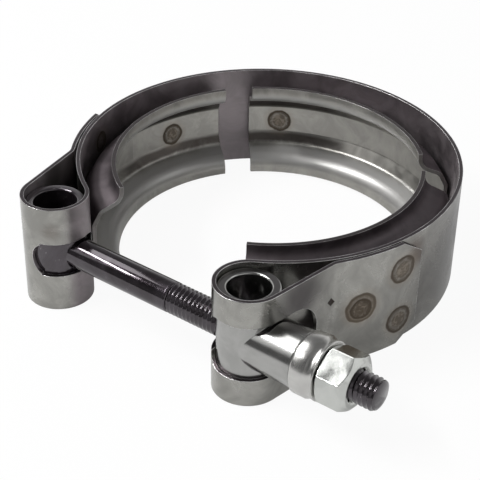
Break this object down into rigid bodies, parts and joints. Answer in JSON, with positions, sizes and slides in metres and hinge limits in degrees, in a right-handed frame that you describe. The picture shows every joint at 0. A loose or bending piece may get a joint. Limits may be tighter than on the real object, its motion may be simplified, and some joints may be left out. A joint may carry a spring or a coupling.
{
  "type": "v band clamp",
  "caption": "V-band clamp: strap with folded eyes and V-section retainers, drawn closed round two pipe flanges by a T-bolt, trunnion, spacer washer and hexagon nut.",
  "frame": {"origin": "centre of the clamped circle, on the ring axis at mid width of the band", "axes": "+Z along the ring axis and the pipe, +X along the T-bolt from its head to the nut, so the closing gap faces -Y"},
  "size_m": [0.1196, 0.1088, 0.03],
  "materials": {
    "strap_steel": "polished stainless steel with heat tint at the spot welds",
    "retainer_steel": "formed stainless steel, satin",
    "dark_bolt_steel": "dark glossy oxide",
    "trunnion_steel": "polished",
    "washer_steel": "turned and polished",
    "nut_steel": "bright"
  },
  "bodies": {
    "band_assembly": {"band": "strap_steel", "retainer_nut_side": "retainer_steel", "retainer_back": "retainer_steel", "retainer_bolt_side": "retainer_steel"},
    "bolt": {"t_bolt": "dark_bolt_steel"},
    "trunnion_piece": {"trunnion": "trunnion_steel"},
    "washer": {"spacer_washer": "washer_steel"},
    "nut": {"hex_nut": "nut_steel"}
  },
  "joints": [
    {"name": "t_bolt_pivot", "type": "hinge", "parent": "band_assembly", "child": "bolt", "pos_m": [-0.0307, -0.04909, 0], "axis": [0, 0, 1], "range_deg": [-0.25, 0.25]},
    {"name": "trunnion_pivot", "type": "hinge", "parent": "band_assembly", "child": "trunnion_piece", "pos_m": [0.0307, -0.04909, 0], "axis": [0, 0, 1], "range_deg": [-0.3, 0.3]},
    {"name": "nut_travel", "type": "slide", "parent": "bolt", "child": "washer", "axis": [1, 0, 0], "range_m": [0, 0.012]},
    {"name": "nut_spin", "type": "hinge", "parent": "washer", "child": "nut", "pos_m": [0.058, -0.04909, 0], "axis": [1, 0, 0], "range_deg": [0, 3456]}
  ],
  "couplings": [
    {"joint": "nut_travel", "follows": "nut_spin", "m_per_rad": 0.00019894}
  ]
}
